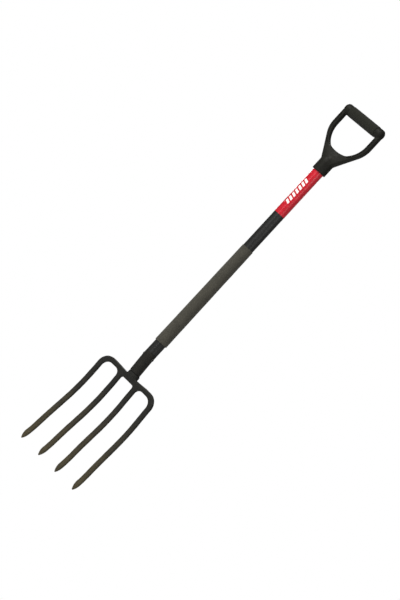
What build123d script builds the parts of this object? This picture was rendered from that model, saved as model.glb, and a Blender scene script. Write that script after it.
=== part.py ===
from build123d import *

import os
from math import cos, radians, sin, tan

# Four-tine digging fork with a D-grip. Millimetres, +Z up along the shaft, -Y to the front, which is
# the side the tines bend towards. The origin is the point it hangs by: the underside of the D-grip's
# bar, on the shaft's axis.

# ---- heights along the shaft
SOCKET_TOP = -104.0
SOCKET_BOTTOM = -143.6
LABEL_BOTTOM = -277.5
CUSHION_TOP = -385.0
CUSHION_BOTTOM = -683.5
FERRULE_TOP = -714.0
SHAFT_END = -736.0
FERRULE_BOTTOM = -775.0
CROSSBAR_TOP = -785.0

# ---- shaft: a slightly tapered fibreglass tube with a plug in each end
SHAFT_TOP_RADIUS = 14.1
SHAFT_LOW_RADIUS = 14.7
SHAFT_BORE_RADIUS = 10.0
SPIGOT_RADIUS = 12.3
TANG_PLUG_TOP = -620.0
GRIP_PLUG_BOTTOM = -170.0
FIT = 0.05

# ---- label and cushion
LABEL_GAP = 0.6
LABEL_THICKNESS = 0.3
CUSHION_TOP_RADIUS = 15.4
CUSHION_LOW_RADIUS = 16.6
CUSHION_EDGE = 0.7

# ---- D-grip
SLEEVE_RADIUS = 14.0
SLEEVE_LENGTH = 86.0
SLEEVE_EDGE = 0.8
BAR_RADIUS = 13.4
BAR_CORE_RADIUS = 11.4
GRIP_OUTER = 62.4
GRIP_INNER = 51.2
ARM_DEPTH = 16.0
ARM_EDGE = 3.4
CORNER_RADIUS = 8.5
BEND_CENTRE = -27.0
FLARE_ANGLE = 33.0
OPENING_SHOULDER = -28.0
OPENING_CORNER = (27.2, -75.8)
OPENING_FOOT = -80.2
OPENING_FILLET = 20.0
SOCKET_RADIUS = 18.4
THROAT_FOOT = -118.0
SOCKET_SHOULDER = -118.0
DOME_TOP = -88.0
CHANNEL_INSET = 3.8
CHANNEL_DEPTH = 2.4
CHANNEL_TOP = -5.0
CHANNEL_FOOT = -78.0

# ---- ferrule: a tube whose lower part bends back to meet the head
FERRULE_WALL = 1.4
FERRULE_STATIONS = (
    # height, shift to the back, outer radius
    (-714.0, 0.0, 14.8),
    (-735.0, 0.8, 14.7),
    (-755.0, 2.8, 14.6),
    (-775.0, 4.9, 14.5),
)

# ---- fork head
TINE_WIDTH = 13.2
TINE_DEPTH = 9.4
TINE_EDGE = 3.1
TINE_ROOTS = (27.6, 89.9)
TINE_SPLAYS = (0.85, 1.7)
BACK_LEAN = 4.5
FORWARD_LEAN = 8.5
BEND_RADIUS = 350.0
KNEE = 104.5
STUB = 45.0
TINE_LENGTH = 284.0
POINT_LENGTH = 20.0
POINT_STAGES = (
    # share of the point's length, share of the tine's section
    (0.0, 1.0),
    (0.55, 0.76),
    (1.0, 0.2),
)
CROSSBAR_MIDDLE = 15.4
CROSSBAR_ARCH = 11.2
ARCH_RISE = 1.8
ARCH_START = 50.0
SLOPE_RADIUS = 100.0
SHOULDER_RADIUS = 30.0
WEB_RADIUS = 14.0
ARCH_RADIUS = 20.0
MIDDLE_RADIUS = 5.0
HEAD_SHIFT = 5.6
COLLAR_RADIUS = 15.6
COLLAR_SHIFT = 2.7
COLLAR_EDGE = 3.0
COLLAR_FOOT = -783.0
BOSS_FOOT = -797.0
BOSS_WIDTH = 46.0
NECK_RADIUS = 12.4
TANG_TOP = -640.0
TANG_RADII = (5.0, 3.0)

# ---- cross pins
RIVET_RADIUS = 2.5
RIVET_HEAD_RADIUS = 4.5
RIVET_HEAD = 0.8
RIVET_EDGE = 0.6
RIVET_SEAT = 0.15
PIN_PROUD = 0.6
RIVET_HEIGHT = -726.0
PIN_HEIGHT = -128.0

os.makedirs("parts", exist_ok=True)


def shaft_radius(z):
    """Outer radius of the tapered shaft at height z."""
    share = (SOCKET_BOTTOM - z) / (SOCKET_BOTTOM - FERRULE_TOP)
    return SHAFT_TOP_RADIUS + share * (SHAFT_LOW_RADIUS - SHAFT_TOP_RADIUS)


# ---- shaft: tube with a thinner spigot that the ferrule covers
with BuildPart() as shaft:
    with BuildSketch(Plane.XZ):
        with BuildLine():
            Polyline(
                (SHAFT_BORE_RADIUS, SOCKET_TOP),
                (SHAFT_TOP_RADIUS, SOCKET_TOP),
                (SHAFT_TOP_RADIUS, SOCKET_BOTTOM),
                (SHAFT_LOW_RADIUS, FERRULE_TOP),
                (SPIGOT_RADIUS, FERRULE_TOP),
                (SPIGOT_RADIUS, SHAFT_END),
                (SHAFT_BORE_RADIUS, SHAFT_END),
                close=True,
            )
        make_face()
    revolve(axis=Axis.Z)
    with Locations((0, 0, RIVET_HEIGHT), (0, 0, PIN_HEIGHT)):
        Cylinder(RIVET_RADIUS + FIT, 4 * SOCKET_RADIUS, rotation=(0, 90, 0), mode=Mode.SUBTRACT)
shaft.part.label = "shaft"
export_step(shaft.part, "parts/shaft.step")

# ---- label: a thin printed wrap just below the D-grip's socket
with BuildPart() as label_wrap:
    label_top = SOCKET_BOTTOM - LABEL_GAP
    with BuildSketch(Plane.XZ):
        with BuildLine():
            Polyline(
                (shaft_radius(label_top) + FIT, label_top),
                (shaft_radius(label_top) + LABEL_THICKNESS, label_top),
                (shaft_radius(LABEL_BOTTOM) + LABEL_THICKNESS, LABEL_BOTTOM),
                (shaft_radius(LABEL_BOTTOM) + FIT, LABEL_BOTTOM),
                close=True,
            )
        make_face()
    revolve(axis=Axis.Z)
label_wrap.part.label = "label_wrap"
export_step(label_wrap.part, "parts/label_wrap.step")

# ---- cushion: a tapered foam sleeve with rounded ends
with BuildPart() as cushion_grip:
    with BuildSketch(Plane.XZ):
        with BuildLine():
            Polyline(
                (shaft_radius(CUSHION_TOP) + FIT, CUSHION_TOP),
                (CUSHION_TOP_RADIUS, CUSHION_TOP),
                (CUSHION_LOW_RADIUS, CUSHION_BOTTOM),
                (shaft_radius(CUSHION_BOTTOM) + FIT, CUSHION_BOTTOM),
                close=True,
            )
        make_face()
    revolve(axis=Axis.Z)
    rims = cushion_grip.edges().filter_by(GeomType.CIRCLE)
    fillet([rim for rim in rims if rim.radius >= CUSHION_TOP_RADIUS], CUSHION_EDGE)
cushion_grip.part.label = "cushion_grip"
export_step(cushion_grip.part, "parts/cushion_grip.step")

# ---- plugs: hardwood, one bored for the tang and one that backs the grip's pin
with BuildPart() as tang_plug:
    with BuildSketch(Plane.XZ):
        with BuildLine():
            Polyline(
                (0, TANG_PLUG_TOP),
                (SHAFT_BORE_RADIUS - FIT, TANG_PLUG_TOP),
                (SHAFT_BORE_RADIUS - FIT, SHAFT_END),
                (TANG_RADII[0] + FIT, SHAFT_END),
                (TANG_RADII[1] + FIT, TANG_TOP + FIT),
                (0, TANG_TOP + FIT),
                close=True,
            )
        make_face()
    revolve(axis=Axis.Z)
    with Locations((0, 0, RIVET_HEIGHT)):
        Cylinder(RIVET_RADIUS + FIT, 4 * SOCKET_RADIUS, rotation=(0, 90, 0), mode=Mode.SUBTRACT)
tang_plug.part.label = "tang_plug"
export_step(tang_plug.part, "parts/tang_plug.step")

with BuildPart() as grip_plug:
    with BuildSketch(Plane.XY.offset(GRIP_PLUG_BOTTOM)):
        Circle(SHAFT_BORE_RADIUS - FIT)
    extrude(amount=SOCKET_TOP - GRIP_PLUG_BOTTOM)
    with Locations((0, 0, PIN_HEIGHT)):
        Cylinder(RIVET_RADIUS + FIT, 4 * SOCKET_RADIUS, rotation=(0, 90, 0), mode=Mode.SUBTRACT)
grip_plug.part.label = "grip_plug"
export_step(grip_plug.part, "parts/grip_plug.step")

# ---- ferrule: lofted between circles, then bored along the same bent line
with BuildPart() as ferrule:
    for height, shift, radius in FERRULE_STATIONS:
        with BuildSketch(Plane((0, shift, height))):
            Circle(radius)
    loft()
    for height, shift, radius in FERRULE_STATIONS:
        with BuildSketch(Plane((0, shift, height))):
            Circle(radius - FERRULE_WALL)
    loft(mode=Mode.SUBTRACT)
    with Locations((0, 0, RIVET_HEIGHT)):
        Cylinder(RIVET_RADIUS + FIT, 4 * SOCKET_RADIUS, rotation=(0, 90, 0), mode=Mode.SUBTRACT)
ferrule.part.label = "ferrule"
export_step(ferrule.part, "parts/ferrule.step")

# ---- D-grip: a flat D with rounded edges, a round bar across its top and a socket for the shaft
flare = radians(FLARE_ANGLE)
tangent_x = GRIP_OUTER * cos(flare)
tangent_z = BEND_CENTRE - GRIP_OUTER * sin(flare)
foot_half = tangent_x - (tangent_z - THROAT_FOOT) * tan(flare)

with BuildSketch(Plane.XZ) as d_outline:
    with BuildLine():
        foot = Line((0, THROAT_FOOT), (foot_half, THROAT_FOOT))
        side = Line(foot @ 1, (tangent_x, tangent_z))
        bend = RadiusArc(side @ 1, (GRIP_OUTER, BEND_CENTRE), -GRIP_OUTER)
        arm = Line(bend @ 1, (GRIP_OUTER, SLEEVE_RADIUS))
        top = Line(arm @ 1, (0, SLEEVE_RADIUS))
        Line(top @ 1, foot @ 0)
    make_face()
    mirror(about=Plane.YZ)

with BuildSketch(Plane.XZ) as d_opening:
    with BuildLine():
        arm_side = Line((GRIP_INNER, SLEEVE_RADIUS), (GRIP_INNER, OPENING_SHOULDER))
        flank = TangentArc(arm_side @ 1, OPENING_CORNER, tangent=(0, -1))
        floor = ThreePointArc(flank @ 1, (0, OPENING_FOOT), (-OPENING_CORNER[0], OPENING_CORNER[1]))
        other_flank = TangentArc((-GRIP_INNER, OPENING_SHOULDER), floor @ 1, tangent=(0, -1))
        Polyline(other_flank @ 0, (-GRIP_INNER, SLEEVE_RADIUS), arm_side @ 0)
    make_face()
    fillet(d_opening.vertices().group_by(Axis.Y)[0], OPENING_FILLET)

with BuildPart() as grip_bar:
    with BuildSketch(Plane.YZ):
        with Locations((0, SLEEVE_RADIUS)):
            Circle(BAR_RADIUS)
    extrude(amount=GRIP_OUTER, both=True)
    fillet(grip_bar.edges().filter_by(GeomType.CIRCLE), CORNER_RADIUS)
    # a shallower middle, which the soft sleeve fills
    with BuildSketch(Plane.YZ):
        with Locations((0, SLEEVE_RADIUS)):
            Circle(SOCKET_RADIUS)
            Circle(BAR_CORE_RADIUS, mode=Mode.SUBTRACT)
    extrude(amount=SLEEVE_LENGTH / 2, both=True, mode=Mode.SUBTRACT)

with BuildPart() as d_grip:
    extrude(d_outline.sketch, amount=ARM_DEPTH / 2, both=True)
    extrude(d_opening.sketch, amount=ARM_DEPTH / 2, both=True, mode=Mode.SUBTRACT)
    arm_edges = d_grip.faces().filter_by(Axis.Y).edges()
    fillet([e for e in arm_edges if THROAT_FOOT + 1 < e.center().Z < SLEEVE_RADIUS - 1], ARM_EDGE)
    # a channel along the front and the back of each arm
    for face_sign in (-1, 1):
        with BuildSketch(Plane.XZ.offset(face_sign * (ARM_DEPTH / 2 - CHANNEL_DEPTH))):
            offset(d_outline.sketch, amount=-CHANNEL_INSET)
            offset(d_opening.sketch, amount=CHANNEL_INSET, mode=Mode.SUBTRACT)
            with Locations((0, (CHANNEL_TOP + CHANNEL_FOOT) / 2)):
                Rectangle(2 * GRIP_OUTER, CHANNEL_TOP - CHANNEL_FOOT, mode=Mode.INTERSECT)
        extrude(amount=face_sign * ARM_DEPTH, mode=Mode.SUBTRACT)
    add(grip_bar.part)
    with BuildSketch(Plane.XZ):
        with BuildLine():
            rim = Line((0, SOCKET_BOTTOM), (SOCKET_RADIUS, SOCKET_BOTTOM))
            socket_side = Line(rim @ 1, (SOCKET_RADIUS, SOCKET_SHOULDER))
            dome = TangentArc(socket_side @ 1, (0, DOME_TOP), tangent=(0, 1))
            Line(dome @ 1, rim @ 0)
        make_face()
    revolve(axis=Axis.Z)
    with BuildSketch(Plane.XY.offset(SOCKET_BOTTOM)):
        Circle(SHAFT_TOP_RADIUS + FIT)
    extrude(amount=SOCKET_TOP + FIT - SOCKET_BOTTOM, mode=Mode.SUBTRACT)
    with Locations((0, 0, PIN_HEIGHT)):
        Cylinder(RIVET_RADIUS + FIT, 4 * SOCKET_RADIUS, rotation=(0, 90, 0), mode=Mode.SUBTRACT)
d_grip.part.label = "d_grip"
export_step(d_grip.part, "parts/d_grip.step")

# ---- sleeve: soft cover around the middle of the bar
with BuildPart() as grip_sleeve:
    with BuildSketch(Plane.YZ):
        with Locations((0, SLEEVE_RADIUS)):
            Circle(SLEEVE_RADIUS)
            Circle(BAR_CORE_RADIUS + FIT, mode=Mode.SUBTRACT)
    extrude(amount=SLEEVE_LENGTH / 2 - FIT, both=True)
    rims = grip_sleeve.edges().filter_by(GeomType.CIRCLE)
    fillet([rim for rim in rims if rim.radius > BAR_RADIUS], SLEEVE_EDGE)
grip_sleeve.part.label = "grip_sleeve"
export_step(grip_sleeve.part, "parts/grip_sleeve.step")

# ---- cross pins: one through the D-grip's socket, one through the ferrule and the tang
with BuildPart() as grip_pin:
    with BuildSketch(Plane.YZ):
        with Locations((0, PIN_HEIGHT)):
            Circle(RIVET_RADIUS)
    extrude(amount=SOCKET_RADIUS + PIN_PROUD, both=True)
    fillet(grip_pin.edges().filter_by(GeomType.CIRCLE), PIN_PROUD)
grip_pin.part.label = "grip_pin"
export_step(grip_pin.part, "parts/grip_pin.step")

ferrule_radius = FERRULE_STATIONS[1][2]
with BuildPart() as ferrule_rivet:
    with BuildSketch(Plane.YZ):
        with Locations((0, RIVET_HEIGHT)):
            Circle(RIVET_RADIUS)
    extrude(amount=ferrule_radius + RIVET_HEAD, both=True)
    for side_sign in (-1, 1):
        with BuildSketch(Plane.YZ.offset(side_sign * (ferrule_radius + RIVET_SEAT))):
            with Locations((0, RIVET_HEIGHT)):
                Circle(RIVET_HEAD_RADIUS)
        extrude(amount=side_sign * RIVET_HEAD)
    heads = ferrule_rivet.edges().filter_by(GeomType.CIRCLE).sort_by(Axis.X)
    fillet([heads[0], heads[-1]], RIVET_EDGE)
ferrule_rivet.part.label = "ferrule_rivet"
export_step(ferrule_rivet.part, "parts/ferrule_rivet.step")

# ---- fork head: a crossbar plate that leans back, four tines that bend forward, a collar and a tang
lean = radians(BACK_LEAN)
front = Vector(0, -cos(lean), -sin(lean))
below = Vector(0, sin(lean), -cos(lean))
head_top = Vector(0, HEAD_SHIFT, CROSSBAR_TOP)
plate_plane = Plane(origin=head_top, x_dir=(1, 0, 0), z_dir=front)
half_width = TINE_WIDTH / 2
inner_root, outer_root = TINE_ROOTS

# the crossbar's top rises a little from its middle to an arch over each side gap
with BuildSketch(plate_plane) as plate:
    with BuildLine():
        Polyline(
            (-outer_root - half_width, ARCH_RISE),
            (-ARCH_START, ARCH_RISE),
            (-BOSS_WIDTH / 2, 0),
            (BOSS_WIDTH / 2, 0),
            (ARCH_START, ARCH_RISE),
            (outer_root + half_width, ARCH_RISE),
            (outer_root + half_width, -STUB),
            (-outer_root - half_width, -STUB),
            close=True,
        )
    make_face()
    fillet([v for v in plate.vertices() if abs(v.X) < ARCH_START + FIT], SLOPE_RADIUS)
    corners = plate.vertices().group_by(Axis.Y)[-1].sort_by(Axis.X)
    fillet([corners[0], corners[-1]], SHOULDER_RADIUS)

with BuildSketch(plate_plane) as middle_gap:
    with BuildLine():
        Polyline(
            (-inner_root + half_width, -CROSSBAR_MIDDLE),
            (inner_root - half_width, -CROSSBAR_MIDDLE),
            (inner_root - half_width, -STUB),
            (-inner_root + half_width, -STUB),
            close=True,
        )
    make_face()
    fillet(middle_gap.vertices().group_by(Axis.Y)[-1], MIDDLE_RADIUS)

with BuildSketch(plate_plane) as side_gap:
    with BuildLine():
        Polyline(
            (inner_root + half_width, -CROSSBAR_ARCH),
            (outer_root - half_width, -CROSSBAR_ARCH),
            (outer_root - half_width, -STUB),
            (inner_root + half_width, -STUB),
            close=True,
        )
    make_face()
    fillet(side_gap.vertices().group_by(Axis.Y)[-1].sort_by(Axis.X)[0], WEB_RADIUS)
    fillet(side_gap.vertices().group_by(Axis.Y)[-1].sort_by(Axis.X)[-1], ARCH_RADIUS)

# the line that every tine follows: straight down the plate, an arc forward, then straight to the point
turn = radians(BACK_LEAN + FORWARD_LEAN)
bend_start = KNEE - BEND_RADIUS * tan(turn / 2)
bend_end = bend_start + BEND_RADIUS * turn


def tine_plane(travel, root, splay):
    """Plane across a tine at a distance along its line from the crossbar's top, with X across the head."""
    angle = lean - min(max(travel - bend_start, 0) / BEND_RADIUS, turn)
    straight = min(travel, bend_start)
    height = -straight * cos(lean) - BEND_RADIUS * (sin(lean) - sin(angle))
    shift = straight * sin(lean) + BEND_RADIUS * (cos(angle) - cos(lean))
    after = max(travel - bend_end, 0)
    outward = root + (travel - STUB) * splay
    spot = (outward, HEAD_SHIFT + shift + after * sin(angle), CROSSBAR_TOP + height - after * cos(angle))
    return Plane(origin=spot, x_dir=(1, 0, 0), z_dir=(0, -sin(angle), cos(angle)))


point_start = TINE_LENGTH - POINT_LENGTH
bend_thirds = [bend_start + third * (bend_end - bend_start) / 3 for third in range(4)]
body_travels = [STUB] + bend_thirds + [(bend_end + point_start) / 2, point_start]

with BuildPart() as fork_head:
    extrude(plate.sketch, amount=TINE_DEPTH / 2, both=True)
    extrude(middle_gap.sketch, amount=TINE_DEPTH, both=True, mode=Mode.SUBTRACT)
    extrude(side_gap.sketch, amount=TINE_DEPTH, both=True, mode=Mode.SUBTRACT)
    other_gap = mirror(side_gap.sketch, about=Plane.YZ, mode=Mode.PRIVATE)
    extrude(other_gap, amount=TINE_DEPTH, both=True, mode=Mode.SUBTRACT)
    plate_faces = fork_head.faces().group_by(SortBy.AREA)[-1]
    fillet([e for e in plate_faces.edges() if (e.center() - head_top).dot(below) < STUB - FIT], TINE_EDGE)
    for root, splay_angle in zip(TINE_ROOTS, TINE_SPLAYS):
        for side_sign in (-1, 1):
            splay = side_sign * tan(radians(splay_angle))
            for travel in body_travels:
                with BuildSketch(tine_plane(travel, side_sign * root, splay)):
                    RectangleRounded(TINE_WIDTH, TINE_DEPTH, TINE_EDGE)
            loft()
            for share, size in POINT_STAGES:
                with BuildSketch(tine_plane(point_start + share * POINT_LENGTH, side_sign * root, splay)):
                    RectangleRounded(size * TINE_WIDTH, size * TINE_DEPTH, size * TINE_EDGE)
            loft()
    # collar, which the ferrule stands on, and the boss that carries it down into the crossbar
    ferrule_foot = FERRULE_STATIONS[-1][1]
    with BuildSketch(Plane((0, ferrule_foot + COLLAR_SHIFT, FERRULE_BOTTOM - FIT))):
        Circle(COLLAR_RADIUS)
    extrude(amount=COLLAR_FOOT - FERRULE_BOTTOM + FIT)
    collar_edges = fork_head.edges().filter_by(GeomType.CIRCLE).group_by(Axis.Z)[-1]
    fillet(collar_edges, COLLAR_EDGE)
    with BuildSketch(Plane((0, ferrule_foot + COLLAR_SHIFT, COLLAR_FOOT))):
        Circle(COLLAR_RADIUS)
    boss_depth = CROSSBAR_TOP - BOSS_FOOT
    with BuildSketch(Plane((0, HEAD_SHIFT + boss_depth * tan(lean), BOSS_FOOT))):
        Ellipse(BOSS_WIDTH / 2, TINE_DEPTH / 2 - FIT)
    loft()
    # neck inside the ferrule, then the tang up the middle of the shaft
    with BuildSketch(Plane((0, ferrule_foot, FERRULE_BOTTOM - COLLAR_EDGE))):
        Circle(NECK_RADIUS)
    with BuildSketch(Plane((0, 0, SHAFT_END - FIT))):
        Circle(TANG_RADII[0] - FIT)
    loft()
    with BuildSketch(Plane((0, 0, SHAFT_END - FIT))):
        Circle(TANG_RADII[0] - FIT)
    with BuildSketch(Plane((0, 0, TANG_TOP))):
        Circle(TANG_RADII[1])
    loft()
    with Locations((0, 0, RIVET_HEIGHT)):
        Cylinder(RIVET_RADIUS + FIT, 4 * SOCKET_RADIUS, rotation=(0, 90, 0), mode=Mode.SUBTRACT)
fork_head.part.label = "fork_head"
export_step(fork_head.part, "parts/fork_head.step")
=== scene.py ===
from math import atan, cos, exp, pi, radians, sin

import bmesh
import bpy
import numpy as np
from mathutils import Matrix, Vector, noise


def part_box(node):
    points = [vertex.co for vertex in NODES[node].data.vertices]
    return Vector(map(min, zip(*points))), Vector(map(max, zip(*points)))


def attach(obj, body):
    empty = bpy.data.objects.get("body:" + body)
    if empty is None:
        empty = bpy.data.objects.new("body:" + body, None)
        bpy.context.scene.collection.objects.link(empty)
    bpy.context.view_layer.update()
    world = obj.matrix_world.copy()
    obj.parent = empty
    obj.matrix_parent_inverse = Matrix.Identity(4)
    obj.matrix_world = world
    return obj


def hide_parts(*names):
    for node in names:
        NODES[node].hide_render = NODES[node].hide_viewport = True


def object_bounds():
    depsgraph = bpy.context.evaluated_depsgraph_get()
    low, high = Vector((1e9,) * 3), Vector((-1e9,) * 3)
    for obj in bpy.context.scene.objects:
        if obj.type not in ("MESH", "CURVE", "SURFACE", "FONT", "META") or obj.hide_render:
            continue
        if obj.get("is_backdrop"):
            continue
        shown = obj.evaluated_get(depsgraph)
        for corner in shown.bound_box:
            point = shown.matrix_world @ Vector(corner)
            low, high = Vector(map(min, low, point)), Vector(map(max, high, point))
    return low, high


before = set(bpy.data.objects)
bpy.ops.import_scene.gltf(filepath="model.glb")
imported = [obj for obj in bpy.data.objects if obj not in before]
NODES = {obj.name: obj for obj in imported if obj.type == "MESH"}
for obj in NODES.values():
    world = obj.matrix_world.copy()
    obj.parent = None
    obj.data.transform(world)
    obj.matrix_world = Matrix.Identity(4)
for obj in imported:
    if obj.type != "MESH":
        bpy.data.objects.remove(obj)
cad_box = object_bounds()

MM = 0.001


# ---------------------------------------------------------------- camera

AZIMUTH = radians(30.0)
SHAFT_SLOPE = radians(47.36)
DISTANCE = 5.5
VIEW_HEIGHT = 1.392
TARGET = Vector((-0.0007, -0.0005, -0.548))
BACK = Vector((sin(AZIMUTH), -cos(AZIMUTH), 0))
ACROSS = Vector((cos(AZIMUTH), sin(AZIMUTH), 0))


def add_camera():
    """Level with the middle of the fork, 30 degrees round to its left, rolled so that the shaft slants."""
    up = Vector((0, 0, 1))
    image_right = cos(SHAFT_SLOPE) * up + sin(SHAFT_SLOPE) * ACROSS
    image_up = sin(SHAFT_SLOPE) * up - cos(SHAFT_SLOPE) * ACROSS
    data = bpy.data.cameras.new("camera")
    data.sensor_fit = "VERTICAL"
    data.angle = 2 * atan(VIEW_HEIGHT / 2 / DISTANCE)
    camera = bpy.data.objects.new("camera", data)
    place = Matrix((image_right, image_up, BACK)).transposed().to_4x4()
    place.translation = TARGET + DISTANCE * BACK
    camera.matrix_world = place
    bpy.context.scene.collection.objects.link(camera)
    bpy.context.scene.camera = camera


add_camera()


# ---------------------------------------------------------------- materials


class Finish:
    """A material on object coordinates, in metres, with short ways to add the nodes that finishes share."""

    def __init__(self, name, roughness=0.5, metallic=0.0, specular=0.5):
        self.material = bpy.data.materials.new(name)
        self.material.use_nodes = True
        self.nodes = self.material.node_tree.nodes
        self.links = self.material.node_tree.links
        self.bsdf = self.nodes["Principled BSDF"]
        self.bsdf.inputs["Roughness"].default_value = roughness
        self.bsdf.inputs["Metallic"].default_value = metallic
        self.bsdf.inputs["Specular IOR Level"].default_value = specular
        self.place = self.nodes.new("ShaderNodeTexCoord").outputs["Object"]

    def stretched(self, scale):
        mapping = self.nodes.new("ShaderNodeMapping")
        mapping.inputs["Scale"].default_value = scale
        self.links.new(self.place, mapping.inputs["Vector"])
        return mapping.outputs["Vector"]

    def noise(self, scale, detail=4.0, roughness=0.6, place=None):
        node = self.nodes.new("ShaderNodeTexNoise")
        node.inputs["Scale"].default_value = scale
        node.inputs["Detail"].default_value = detail
        node.inputs["Roughness"].default_value = roughness
        self.links.new(place or self.place, node.inputs["Vector"])
        return node.outputs["Fac"]

    def cells(self, scale):
        node = self.nodes.new("ShaderNodeTexVoronoi")
        node.inputs["Scale"].default_value = scale
        self.links.new(self.place, node.inputs["Vector"])
        return node.outputs["Distance"]

    def axis(self, name):
        node = self.nodes.new("ShaderNodeSeparateXYZ")
        self.links.new(self.place, node.inputs[0])
        return node.outputs[name]

    def math(self, operation, first, second=None, clamp=False):
        node = self.nodes.new("ShaderNodeMath")
        node.operation = operation
        node.use_clamp = clamp
        for socket, value in zip(node.inputs, (first, second)):
            if isinstance(value, (int, float)):
                socket.default_value = value
            elif value is not None:
                self.links.new(value, socket)
        return node.outputs[0]

    def remap(self, value, low, high, to_low=0.0, to_high=1.0):
        node = self.nodes.new("ShaderNodeMapRange")
        self.links.new(value, node.inputs["Value"])
        for name, number in zip(("From Min", "From Max", "To Min", "To Max"), (low, high, to_low, to_high)):
            node.inputs[name].default_value = number
        return node.outputs[0]

    def ramp(self, value, stops):
        node = self.nodes.new("ShaderNodeValToRGB")
        elements = node.color_ramp.elements
        while len(elements) < len(stops):
            elements.new(1.0)
        for element, (position, color) in zip(elements, stops):
            element.position = position
            element.color = (*color, 1)
        self.links.new(value, node.inputs["Fac"])
        return node.outputs["Color"]

    def mix(self, share, first, second):
        node = self.nodes.new("ShaderNodeMix")
        node.data_type = "RGBA"
        self.links.new(share, node.inputs["Factor"])
        colors = [socket for socket in node.inputs if socket.type == "RGBA"]
        for socket, color in zip(colors, (first, second)):
            if isinstance(color, tuple):
                socket.default_value = (*color, 1)
            else:
                self.links.new(color, socket)
        return [socket for socket in node.outputs if socket.type == "RGBA"][0]

    def bump(self, height, distance, strength=1.0, under=None):
        node = self.nodes.new("ShaderNodeBump")
        node.inputs["Strength"].default_value = strength
        node.inputs["Distance"].default_value = distance
        self.links.new(height, node.inputs["Height"])
        if under is not None:
            self.links.new(under, node.inputs["Normal"])
        return node.outputs["Normal"]

    def wear(self, color=None, roughness=None, normal=None):
        for name, value in (("Base Color", color), ("Roughness", roughness), ("Normal", normal)):
            if value is not None:
                self.links.new(value, self.bsdf.inputs[name])
        return self.material


CROSSBAR_SHARE = 0.66


def head_finish():
    """Black enamel on the crossbar, lighter and browner towards the points: a brown steel tone with painted
    light where the points curve towards the lamps; with chips and scuffs.
    """
    finish = Finish("head_enamel", specular=0.22)
    top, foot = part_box("fork_head")[1][2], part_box("fork_head")[0][2]
    crossbar = foot + CROSSBAR_SHARE * (top - foot)
    patches = finish.noise(28.0, 6.0, 0.65)
    down = finish.remap(finish.axis("Z"), crossbar, foot)
    # worn is random patches plus painted light that grows from the crossbar down to the points
    worn = finish.math("ADD", down, finish.remap(patches, 0.3, 0.7, -0.22, 0.22), clamp=True)
    # the ramp's lighter, browner end at the points is partly the steel's brown tone and partly painted light
    base = finish.ramp(worn, [
        (0.0, (0.0095, 0.0095, 0.0080)),
        (0.30, (0.0150, 0.0145, 0.0118)),
        (0.62, (0.0340, 0.0285, 0.0165)),
        (1.0, (0.0550, 0.0450, 0.0220)),
    ])
    grit = finish.noise(900.0, 3.0)
    chipped = finish.remap(finish.noise(260.0, 5.0, 0.7), 0.60, 0.66)
    chips = finish.math("MULTIPLY", chipped, worn, clamp=True)
    color = finish.mix(chips, base, (0.085, 0.070, 0.050))
    color = finish.mix(finish.remap(grit, 0.35, 0.75, 0.0, 0.35), color, (0.006, 0.006, 0.005))
    rough = finish.remap(finish.noise(120.0), 0.3, 0.7, 0.55, 0.78)
    dents = finish.bump(finish.noise(170.0, 6.0, 0.6), 0.25 * MM, 0.6)
    return finish.wear(color, rough, finish.bump(grit, 0.10 * MM, 0.7, dents))


def ferrule_finish():
    """Thick matt black paint with an orange-peel grain."""
    finish = Finish("ferrule_paint", specular=0.22)
    mottle = finish.noise(90.0, 6.0)
    color = finish.ramp(mottle, [(0.3, (0.0060, 0.0060, 0.0050)), (0.75, (0.0130, 0.0115, 0.0085))])
    rough = finish.remap(finish.noise(240.0), 0.3, 0.7, 0.5, 0.75)
    peel = finish.bump(finish.noise(420.0, 3.0), 0.30 * MM, 0.7)
    return finish.wear(color, rough, finish.bump(finish.noise(1500.0, 2.0), 0.10 * MM, 0.6, peel))


def shaft_finish():
    """Glossy black fibreglass: fine fibres run along it under a clear skin."""
    finish = Finish("shaft_fibreglass", specular=0.35)
    finish.bsdf.inputs["Coat Weight"].default_value = 0.25
    finish.bsdf.inputs["Coat Roughness"].default_value = 0.28
    along = finish.stretched((900.0, 900.0, 9.0))
    fibres = finish.noise(1.0, 3.0, 0.5, along)
    color = finish.ramp(fibres, [(0.35, (0.0046, 0.0048, 0.0046)), (0.7, (0.0105, 0.0108, 0.0104))])
    rough = finish.remap(fibres, 0.3, 0.7, 0.34, 0.48)
    return finish.wear(color, rough, finish.bump(fibres, 0.03 * MM, 0.5))


# how dark the painted shade in the foam's open pores is
PORE_SHADE = 0.45


def foam_finish(name, dark, light):
    """Closed-cell foam: small cells, a few open pores with painted shade in them and a dusty bloom."""
    finish = Finish(name, specular=0.2)
    finish.bsdf.inputs["Sheen Weight"].default_value = 0.07
    finish.bsdf.inputs["Sheen Roughness"].default_value = 0.6
    cells = finish.cells(1300.0)
    bloom = finish.noise(55.0, 7.0, 0.7)
    mottle = finish.math("ADD", finish.math("MULTIPLY", bloom, 0.6), finish.math("MULTIPLY", cells, 0.5))
    color = finish.ramp(mottle, [(0.30, dark), (0.75, light)])
    pores = finish.remap(finish.cells(520.0), 0.05, 0.20)
    # the open pores are painted darker: painted shade in the pores
    color = finish.mix(pores, tuple(PORE_SHADE * part for part in dark), color)
    rough = finish.remap(bloom, 0.3, 0.7, 0.80, 0.95)
    fine = finish.bump(cells, 0.22 * MM, 0.7)
    return finish.wear(color, rough, finish.bump(pores, 0.20 * MM, 0.5, fine))


# the printed stripes: how many, how far apart, the share of the pitch that is ink, and their slant; the
# band that they fill; and how soft the ink's edge is
STRIPE_COUNT = 7
STRIPE_PITCH = 10.6 * MM
STRIPE_SHARE = 0.6
STRIPE_SLANT = 0.35
BAND_HALF = 5.4 * MM
BAND_TOP = -173.0 * MM
INK_EDGE = 0.25 * MM


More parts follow.
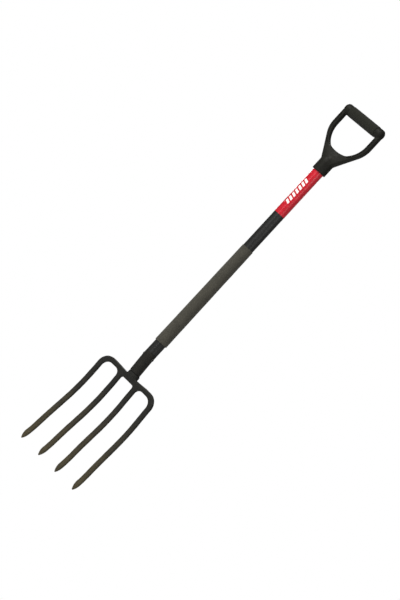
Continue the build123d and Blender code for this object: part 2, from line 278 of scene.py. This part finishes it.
def label_finish():
    """Gloss red vinyl with a row of plain slanted white stripes printed along its front."""
    finish = Finish("label_vinyl", specular=0.5)
    finish.bsdf.inputs["Coat Weight"].default_value = 0.35
    finish.bsdf.inputs["Coat Roughness"].default_value = 0.18
    across, height = finish.axis("X"), finish.axis("Z")
    turned = finish.math("ARCTAN2", across, finish.math("MULTIPLY", finish.axis("Y"), -1.0))
    round_front = finish.math("MULTIPLY", turned, label_radius())
    slanted = finish.math("ADD", height, finish.math("MULTIPLY", round_front, STRIPE_SLANT))
    down = finish.math("SUBTRACT", BAND_TOP, slanted)
    step = finish.math("PINGPONG", down, STRIPE_PITCH / 2)
    gap_half = STRIPE_PITCH * (1 - STRIPE_SHARE) / 2
    band_length = STRIPE_COUNT * STRIPE_PITCH
    aside = finish.math("ABSOLUTE", round_front)
    stripe = finish.remap(step, gap_half - INK_EDGE, gap_half + INK_EDGE)
    side = finish.remap(aside, BAND_HALF - INK_EDGE, BAND_HALF + INK_EDGE, 1.0, 0.0)
    first = finish.remap(down, -INK_EDGE, INK_EDGE)
    last = finish.remap(down, band_length - INK_EDGE, band_length + INK_EDGE, 1.0, 0.0)
    ink = finish.math("MULTIPLY", finish.math("MULTIPLY", stripe, side), finish.math("MULTIPLY", first, last))
    mottle = finish.noise(70.0, 5.0)
    red = finish.ramp(mottle, [(0.3, (0.40, 0.004, 0.013)), (0.7, (0.49, 0.006, 0.020))])
    worn = finish.math("MULTIPLY", ink, finish.remap(finish.noise(700.0, 4.0), 0.30, 0.42, 0.55, 1.0))
    color = finish.mix(worn, red, (0.86, 0.85, 0.83))
    rough = finish.remap(finish.noise(150.0), 0.3, 0.7, 0.22, 0.36)
    return finish.wear(color, rough, finish.bump(mottle, 0.06 * MM, 0.4))


def grip_finish():
    """Injection-moulded plastic with a fine spark-eroded grain and light scuffs."""
    finish = Finish("grip_plastic", specular=0.13)
    scuffs = finish.noise(60.0, 8.0, 0.7)
    color = finish.ramp(scuffs, [(0.3, (0.0058, 0.0058, 0.0045)), (0.72, (0.0118, 0.0115, 0.0088))])
    rough = finish.remap(finish.noise(200.0, 5.0), 0.3, 0.7, 0.50, 0.70)
    grain = finish.bump(finish.noise(1600.0, 2.0), 0.12 * MM, 0.6)
    return finish.wear(color, rough, finish.bump(scuffs, 0.20 * MM, 0.3, grain))


def steel_finish():
    """Blackened steel, rubbed a little brighter on its heads."""
    finish = Finish("pin_steel", metallic=0.6, specular=0.5)
    rubbed = finish.noise(350.0, 6.0)
    color = finish.ramp(rubbed, [(0.35, (0.020, 0.019, 0.018)), (0.75, (0.075, 0.070, 0.062))])
    rough = finish.remap(rubbed, 0.3, 0.7, 0.62, 0.36)
    return finish.wear(color, rough, finish.bump(rubbed, 0.08 * MM, 0.5))


def wood_finish():
    """Turned hardwood with its grain along the plug."""
    finish = Finish("plug_wood", specular=0.3)
    grain = finish.noise(1.0, 5.0, 0.6, finish.stretched((420.0, 420.0, 14.0)))
    color = finish.ramp(grain, [(0.3, (0.24, 0.14, 0.07)), (0.7, (0.48, 0.32, 0.17))])
    rough = finish.remap(grain, 0.3, 0.7, 0.55, 0.75)
    return finish.wear(color, rough, finish.bump(grain, 0.10 * MM, 0.5))


# ---------------------------------------------------------------- pieces cut from the CAD solids


def add_piece(name, mesh, node, material):
    piece = bpy.data.objects.new(name, mesh)
    bpy.context.scene.collection.objects.link(piece)
    mesh.materials.clear()
    mesh.materials.append(material)
    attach(piece, "root")
    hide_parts(node)
    return piece


def recast(name, node, voxel, passes):
    """A closed, evenly meshed copy of a CAD solid, with its sharp corners eased as a cast part's are."""
    work = bpy.data.objects.new(name + "_work", NODES[node].data.copy())
    bpy.context.scene.collection.objects.link(work)
    remesh = work.modifiers.new("remesh", "REMESH")
    remesh.mode = "VOXEL"
    remesh.voxel_size = voxel
    ease = work.modifiers.new("ease", "SMOOTH")
    ease.factor = 0.5
    ease.iterations = passes
    depsgraph = bpy.context.evaluated_depsgraph_get()
    mesh = bpy.data.meshes.new_from_object(work.evaluated_get(depsgraph))
    mesh.name = name
    bpy.data.objects.remove(work)
    mesh.polygons.foreach_set("use_smooth", [True] * len(mesh.polygons))
    return mesh


def displace(mesh, height):
    """Moves each vertex along its normal by height(place)."""
    count = len(mesh.vertices)
    places = np.empty(3 * count)
    normals = np.empty(3 * count)
    mesh.vertices.foreach_get("co", places)
    mesh.vertices.foreach_get("normal", normals)
    places = places.reshape(-1, 3)
    moves = np.array([height(Vector(place)) for place in places])
    places += normals.reshape(-1, 3) * moves[:, None]
    mesh.vertices.foreach_set("co", places.ravel())
    mesh.update()


def ripple(place, wavelength, size):
    """Smooth noise of the given wavelength and size, the same on every run."""
    return size * noise.noise(place / wavelength)


def forged_height(place):
    """Hammer dents, with finer scale on them."""
    dents = ripple(place, 14.0 * MM, 0.22 * MM) + ripple(place, 5.0 * MM, 0.10 * MM)
    return dents + ripple(place, 1.8 * MM, 0.05 * MM)


def ridge(offset, half_width, size):
    """A small ridge of triangular section, offset being the distance from its middle line."""
    return size * max(0.0, 1.0 - abs(offset) / half_width)


def painted_height(place):
    """Thick paint, with the tube's butt seam as a groove down its back."""
    paint = ripple(place, 3.0 * MM, 0.07 * MM) + ripple(place, 1.1 * MM, 0.04 * MM)
    seam = ridge(place.x, 0.9 * MM, 0.45 * MM) if place.y > 0 else 0.0
    return paint - seam


def moulded_height(place):
    """A faint parting line round the D, where the mould's halves met."""
    return ridge(place.y, 0.55 * MM, 0.22 * MM) + ripple(place, 20.0 * MM, 0.06 * MM)


def add_head():
    mesh = recast("forged_head", "fork_head", voxel=0.95 * MM, passes=5)
    displace(mesh, forged_height)
    add_piece("forged_head", mesh, "fork_head", head_finish())


def add_ferrule():
    mesh = recast("ferrule_tube", "ferrule", voxel=0.55 * MM, passes=4)
    displace(mesh, painted_height)
    add_piece("ferrule_tube", mesh, "ferrule", ferrule_finish())


# the web between the socket and the arms, and the swelling on it; the shares are of the web's half depth
THROAT_LOW = -116.0 * MM
THROAT_HIGH = -79.0 * MM
WEB_HALF = 8.0 * MM
CROWN_RISE = 8.0 * MM
CROWN_WIDTH_LOW = 13.0 * MM
CROWN_WIDTH_HIGH = 24.0 * MM
CROWN_FADE = 1.5
CROWN_PASSES = 30
LIFTED_SHARE = 0.8
SMOOTHED_SHARE = 0.7


def crown_throat(mesh):
    """Swells the web above the socket, so that the socket's round form runs out into the two arms."""
    shape = bmesh.new()
    shape.from_mesh(mesh)
    throat = [v for v in shape.verts if THROAT_LOW < v.co.z < THROAT_HIGH]
    for vertex in throat:
        up = (vertex.co.z - THROAT_LOW) / (THROAT_HIGH - THROAT_LOW)
        width = CROWN_WIDTH_LOW + up * (CROWN_WIDTH_HIGH - CROWN_WIDTH_LOW)
        fade = cos(pi / 2 * up) ** CROWN_FADE
        swell = WEB_HALF + CROWN_RISE * fade * exp(-(vertex.co.x / width) ** 2)
        if LIFTED_SHARE * WEB_HALF < abs(vertex.co.y) < swell:
            vertex.co.y = swell if vertex.co.y > 0 else -swell
    skin = [v for v in throat if abs(v.co.y) > SMOOTHED_SHARE * WEB_HALF]
    for _ in range(CROWN_PASSES):
        bmesh.ops.smooth_vert(shape, verts=skin, factor=0.5, use_axis_y=True)
    shape.to_mesh(mesh)
    shape.free()
    mesh.update()


def add_grip():
    mesh = recast("moulded_grip", "d_grip", voxel=0.75 * MM, passes=7)
    crown_throat(mesh)
    displace(mesh, moulded_height)
    add_piece("moulded_grip", mesh, "d_grip", grip_finish())


# ---------------------------------------------------------------- turned pieces

# the shaft's outside, which the foam and the label sit on
SHAFT_TOP_RADIUS = 14.1 * MM
SHAFT_FOOT_RADIUS = 14.7 * MM
TAPER_TOP = -143.6 * MM
TAPER_FOOT = -714.0 * MM

# how finely a tube's wall is meshed: steps round each rim, and the length of a step along it
RIM_STEPS = 6
PROFILE_STEP = 0.9 * MM


def shaft_radius(height):
    """The shaft is straight inside the D-grip's socket and tapers from there down to the ferrule."""
    taper = (SHAFT_FOOT_RADIUS - SHAFT_TOP_RADIUS) / (TAPER_TOP - TAPER_FOOT)
    return SHAFT_TOP_RADIUS + taper * max(TAPER_TOP - height, 0.0)


def label_radius():
    return shaft_radius(sum(corner[2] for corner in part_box("label_wrap")) / 2)


def tube_profile(length, outer, inner, lip):
    """Closed outline of a tube's wall as (distance along, radius), with both outer rims rounded."""
    turns = [pi / 2 * step / RIM_STEPS for step in range(RIM_STEPS + 1)]
    points = [(0.0, inner(0.0))]
    points += [(lip - lip * cos(a), outer(0.0) - lip + lip * sin(a)) for a in turns]
    count = round((length - 2 * lip) / PROFILE_STEP)
    points += [(d, outer(d)) for d in np.linspace(lip, length - lip, count + 1)[1:-1]]
    points += [(length - lip + lip * sin(a), outer(length) - lip + lip * cos(a)) for a in turns]
    points += [(length, inner(length))]
    return points


def turn(name, profile, segments, placed, height):
    """Sweeps a closed outline round a line. placed(distance, radius, angle) says where a point goes."""
    rows = len(profile)
    places = []
    for index in range(segments):
        angle = 2 * pi * index / segments
        for distance, radius in profile:
            spot = placed(distance, radius, angle)
            places.append(placed(distance, radius + height(spot), angle))
    faces = []
    for index in range(segments):
        here, after = index * rows, (index + 1) % segments * rows
        for row in range(rows):
            below = (row + 1) % rows
            faces.append((here + row, here + below, after + below, after + row))
    mesh = bpy.data.meshes.new(name)
    mesh.from_pydata(places, [], faces)
    mesh.polygons.foreach_set("use_smooth", [True] * len(faces))
    mesh.update()
    return mesh


def foam_height(place):
    """Foam gives a little: long soft waves, a hand's worth of lumps, and open cells at the surface."""
    waves = ripple(place, 60.0 * MM, 0.22 * MM) + ripple(place, 16.0 * MM, 0.12 * MM)
    return waves + ripple(place, 2.4 * MM, 0.09 * MM)


FOAM_TOP_RADIUS = 15.4 * MM
FOAM_SEAT = 0.06 * MM
FOAM_LIP = 0.8 * MM
FOAM_SEGMENTS = 110


def add_foam():
    """The cushion on the shaft: a tube that grows a little towards its foot."""
    low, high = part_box("cushion_grip")
    top, foot, foot_radius = high[2], low[2], high[0]

    def outer(distance):
        return FOAM_TOP_RADIUS + (foot_radius - FOAM_TOP_RADIUS) * distance / (top - foot)

    def inner(distance):
        return shaft_radius(top - distance) + FOAM_SEAT

    def placed(distance, radius, angle):
        return Vector((radius * sin(angle), radius * cos(angle), top - distance))

    profile = tube_profile(top - foot, outer, inner, FOAM_LIP)
    mesh = turn("foam_sleeve", profile, FOAM_SEGMENTS, placed, foam_height)
    finish = foam_finish("shaft_foam", (0.026, 0.0245, 0.019), (0.058, 0.0545, 0.0435))
    piece = add_piece("foam_sleeve", mesh, "cushion_grip", finish)


BAR_WALL = 2.5 * MM
BAR_LIP = 1.0 * MM
BAR_SEGMENTS = 96


def add_bar_sleeve():
    """The straight sleeve round the middle of the D-grip's bar."""
    low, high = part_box("grip_sleeve")
    outer_radius = (high[2] - low[2]) / 2
    middle = (high[2] + low[2]) / 2

    def outer(distance):
        return outer_radius

    def inner(distance):
        return outer_radius - BAR_WALL

    def placed(distance, radius, angle):
        return Vector((low[0] + distance, radius * cos(angle), middle + radius * sin(angle)))

    profile = tube_profile(high[0] - low[0], outer, inner, BAR_LIP)
    mesh = turn("bar_sleeve", profile, BAR_SEGMENTS, placed, foam_height)
    finish = foam_finish("bar_foam", (0.0030, 0.0033, 0.0014), (0.0085, 0.0090, 0.0048))
    piece = add_piece("bar_sleeve", mesh, "grip_sleeve", finish)


# the label's gap to the shaft, its vinyl and glue, and at the back its overlap and the turn, in radians, in
# which its end climbs over its start
LABEL_SEAT = 0.06 * MM
LABEL_THICKNESS = 0.13 * MM
LABEL_GLUE = 0.02 * MM
LABEL_OVERLAP = radians(14.0)
LABEL_CLIMB = 0.08
LABEL_STEPS = 180
LABEL_ROWS = 30


def add_label():
    """One strip of vinyl wound round the shaft, whose end lies over its start at the back."""
    low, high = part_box("label_wrap")
    heights = np.linspace(high[2], low[2], LABEL_ROWS)
    columns = []
    for index in range(LABEL_STEPS + 1):
        wound = (2 * pi + LABEL_OVERLAP) * index / LABEL_STEPS
        climbed = min(max((wound - 2 * pi + LABEL_CLIMB) / LABEL_CLIMB, 0.0), 1.0)
        columns.append((wound, LABEL_SEAT + climbed * (LABEL_THICKNESS + LABEL_GLUE)))
    places = []
    for layer in (0.0, LABEL_THICKNESS):
        for wound, lift in columns:
            for height in heights:
                radius = shaft_radius(height) + lift + layer
                places.append((radius * sin(wound), radius * cos(wound), height))
    rows, sheet = len(heights), len(heights) * len(columns)
    faces = []
    for column in range(len(columns) - 1):
        for row in range(rows - 1):
            spot = column * rows + row
            faces.append((spot, spot + rows, spot + rows + 1, spot + 1))
            faces.append((sheet + spot, sheet + spot + 1, sheet + spot + rows + 1, sheet + spot + rows))
        for row in (0, rows - 1):
            spot = column * rows + row
            rim = (spot, sheet + spot, sheet + spot + rows, spot + rows)
            faces.append(rim if row == 0 else rim[::-1])
    for column in (0, len(columns) - 1):
        for row in range(rows - 1):
            spot = column * rows + row
            end = (spot, spot + 1, sheet + spot + 1, sheet + spot)
            faces.append(end if column == 0 else end[::-1])
    mesh = bpy.data.meshes.new("label_skin")
    mesh.from_pydata(places, [], faces)
    mesh.polygons.foreach_set("use_smooth", [True] * len(faces))
    mesh.set_sharp_from_angle(angle=radians(50))
    mesh.update()
    add_piece("label_skin", mesh, "label_wrap", label_finish())


def dress(material, *nodes):
    """Gives CAD nodes whose shape stays as it is their material."""
    for node in nodes:
        mesh = NODES[node].data
        mesh.materials.clear()
        mesh.materials.append(material)


add_head()
add_ferrule()
add_grip()
add_foam()
add_bar_sleeve()
add_label()
dress(shaft_finish(), "shaft")
dress(steel_finish(), "grip_pin", "ferrule_rivet")
dress(wood_finish(), "tang_plug", "grip_plug")


# ---------------------------------------------------------------- stage and light

WHITE = (1, 1, 1, 1)
FLOOR_HALF = 6.0
FLOOR_DROP = 0.30
ROOM_LIGHT = 0.20


def seen_white(tree, other_shader):
    """What the camera sees directly is plain white; what lights the object is the other shader."""
    seen = tree.nodes.new("ShaderNodeEmission")
    seen.inputs["Color"].default_value = WHITE
    path = tree.nodes.new("ShaderNodeLightPath")
    mix = tree.nodes.new("ShaderNodeMixShader")
    tree.links.new(path.outputs["Is Camera Ray"], mix.inputs[0])
    tree.links.new(other_shader, mix.inputs[1])
    tree.links.new(seen.outputs[0], mix.inputs[2])
    return mix.outputs[0]


def add_floor():
    mesh = bpy.data.meshes.new("floor")
    height = cad_box[0][2] - FLOOR_DROP
    signs = ((-1, -1), (1, -1), (1, 1), (-1, 1))
    corners = [(x * FLOOR_HALF, y * FLOOR_HALF, height) for x, y in signs]
    mesh.from_pydata(corners, [], [(0, 1, 2, 3)])
    floor = bpy.data.objects.new("floor", mesh)
    bpy.context.scene.collection.objects.link(floor)
    finish = Finish("floor_paper", roughness=0.9)
    color = finish.ramp(finish.noise(6.0), [(0.3, (0.80, 0.80, 0.79)), (0.7, (0.86, 0.86, 0.85))])
    paper = finish.wear(color)
    tree = paper.node_tree
    tree.links.new(seen_white(tree, finish.bsdf.outputs[0]), tree.nodes["Material Output"].inputs["Surface"])
    mesh.materials.append(paper)
    floor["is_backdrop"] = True


def add_world():
    world = bpy.data.worlds.new("studio")
    world.use_nodes = True
    tree = world.node_tree
    room = tree.nodes["Background"]
    room.inputs["Color"].default_value = WHITE
    room.inputs["Strength"].default_value = ROOM_LIGHT
    tree.links.new(seen_white(tree, room.outputs[0]), tree.nodes["World Output"].inputs["Surface"])
    bpy.context.scene.world = world
    bpy.context.scene.view_settings.view_transform = "Standard"


def add_softbox(name, left, forward, height, size, power, color):
    """A soft box aimed at the fork's middle, so far to the left of the view and towards the camera."""
    middle = Vector((0, 0, (cad_box[0][2] + cad_box[1][2]) / 2))
    data = bpy.data.lights.new(name, "AREA")
    data.shape = "RECTANGLE"
    data.size, data.size_y = size
    data.energy = power
    data.color = color
    light = bpy.data.objects.new(name, data)
    light.location = middle - left * ACROSS + forward * BACK + Vector((0, 0, height))
    light.rotation_euler = (middle - light.location).to_track_quat("-Z", "Y").to_euler()
    bpy.context.scene.collection.objects.link(light)


add_floor()
add_world()
add_softbox("key", left=2.2, forward=1.8, height=2.4, size=(1.4, 1.4), power=150, color=(1.0, 0.99, 0.95))
add_softbox("fill", left=-2.0, forward=2.6, height=1.6, size=(1.6, 1.6), power=45, color=(1.0, 0.99, 0.96))
add_softbox("strip", left=1.6, forward=3.0, height=0.0, size=(0.35, 2.2), power=7, color=(0.92, 0.95, 0.98))
add_softbox("back", left=0.4, forward=-2.6, height=1.2, size=(1.6, 1.6), power=60, color=(1.0, 1.0, 1.0))


# ---------------------------------------------------------------- bounds

visual_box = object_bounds()
boxes = {"cad": cad_box, "visual": visual_box}
{name: [list(corner) for corner in box] for name, box in boxes.items()}
